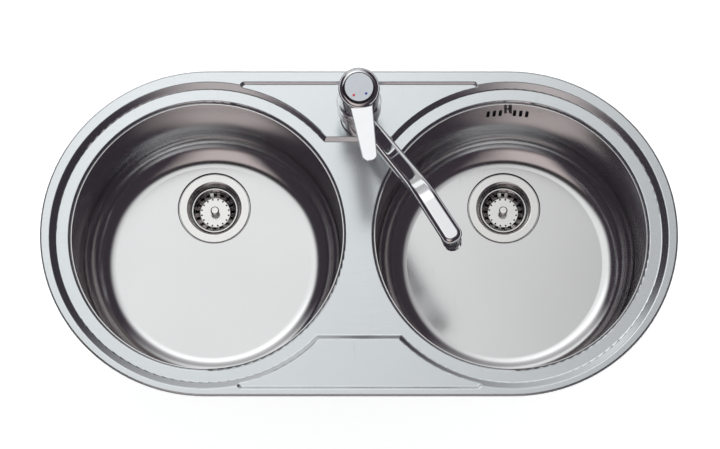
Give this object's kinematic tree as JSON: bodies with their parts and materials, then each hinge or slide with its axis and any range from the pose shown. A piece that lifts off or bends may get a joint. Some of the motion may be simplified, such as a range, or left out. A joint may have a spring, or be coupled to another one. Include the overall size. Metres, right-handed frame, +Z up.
{
  "type": "double bowl kitchen sink with mixer tap",
  "caption": "Stadium shaped inset stainless sink with two round bowls, basket strainer wastes, an overflow and a single lever swivel mixer tap on its back platform.",
  "frame": {"origin": "on the worktop's surface under the rim seal, halfway between the centres of both bowls", "axes": "+X to the right along the sink, +Y to the back where the tap stands, +Z up"},
  "size_m": [0.84, 0.44, 0.4195],
  "materials": {
    "deck_steel": "satin linen",
    "bowl_steel": "fine turned satin",
    "polished_steel": "polished",
    "zinc_steel": "zinc plated",
    "tap_chrome": "mirror bright plating",
    "raw_brass": "machined",
    "rubber_seal": "matt black",
    "foam_seal": "closed cell foam",
    "white_plastic": "moulded",
    "slip_plastic": "moulded",
    "cartridge_plastic": "moulded",
    "disc_ceramic": "lapped ceramic",
    "cap_grey": "satin grey"
  },
  "bodies": {
    "sink": {"deck": "deck_steel", "bowl_left": "bowl_steel", "bowl_right": "bowl_steel", "rim_seal": "foam_seal", "clip_rails": "zinc_steel", "fixing_clips": "zinc_steel", "clip_screws": "zinc_steel", "overflow_seal": "rubber_seal", "overflow_housing": "white_plastic", "overflow_screw": "polished_steel", "tap_base_seal": "rubber_seal", "tap_base": "tap_chrome", "tap_body": "tap_chrome", "tap_shank": "raw_brass", "shank_gasket": "rubber_seal", "shank_washer": "zinc_steel", "shank_nut": "raw_brass", "spout_slip_rings": "slip_plastic", "spout_o_rings": "rubber_seal", "cartridge_body": "cartridge_plastic", "cartridge_nut": "raw_brass", "cartridge_disc": "disc_ceramic", "dome_cover": "tap_chrome", "strainer_cup_left": "polished_steel", "cup_seal_left": "rubber_seal", "waste_seal_left": "rubber_seal", "waste_body_left": "white_plastic", "waste_screw_left": "polished_steel", "strainer_cup_right": "polished_steel", "cup_seal_right": "rubber_seal", "waste_seal_right": "rubber_seal", "waste_body_right": "white_plastic", "waste_screw_right": "polished_steel"},
    "spout": {"spout": "tap_chrome", "aerator_housing": "tap_chrome", "aerator_washer": "rubber_seal", "aerator_insert": "slip_plastic"},
    "lever_carrier": {"cartridge_carrier": "cartridge_plastic"},
    "valve_slider": {"cartridge_slider": "slip_plastic"},
    "lever": {"lever": "tap_chrome", "index_cap": "cap_grey", "grub_screw": "zinc_steel", "cartridge_stem": "raw_brass", "stem_pin": "polished_steel"},
    "basket_left": {"basket_left": "polished_steel", "basket_plug_left": "rubber_seal", "basket_knob_left": "polished_steel"},
    "basket_right": {"basket_right": "polished_steel", "basket_plug_right": "rubber_seal", "basket_knob_right": "polished_steel"}
  },
  "joints": [
    {"name": "spout_swivel", "type": "hinge", "parent": "sink", "child": "spout", "pos_m": [0, 0.157, 0.0343], "axis": [0, 0, 1], "range_deg": [-133, 67]},
    {"name": "lever_turn", "type": "hinge", "parent": "sink", "child": "lever_carrier", "pos_m": [0, 0.157, 0.1011], "axis": [0, 0, 1], "range_deg": [-53, 37]},
    {"name": "lever_lift", "type": "hinge", "parent": "lever_carrier", "child": "lever", "pos_m": [0, 0.157, 0.1011], "axis": [-0.9903, -0.1392, 0], "range_deg": [0, 25]},
    {"name": "valve_slide", "type": "slide", "parent": "lever_carrier", "child": "valve_slider", "axis": [0.1392, -0.9903, 0], "range_m": [0, 0.00565]},
    {"name": "basket_left_lift", "type": "slide", "parent": "sink", "child": "basket_left", "axis": [0, 0, 1], "range_m": [0, 0.2]},
    {"name": "basket_right_lift", "type": "slide", "parent": "sink", "child": "basket_right", "axis": [0, 0, 1], "range_m": [0, 0.2]}
  ],
  "couplings": [
    {"joint": "valve_slide", "follows": "lever_lift", "m_per_rad": 0.012897}
  ]
}
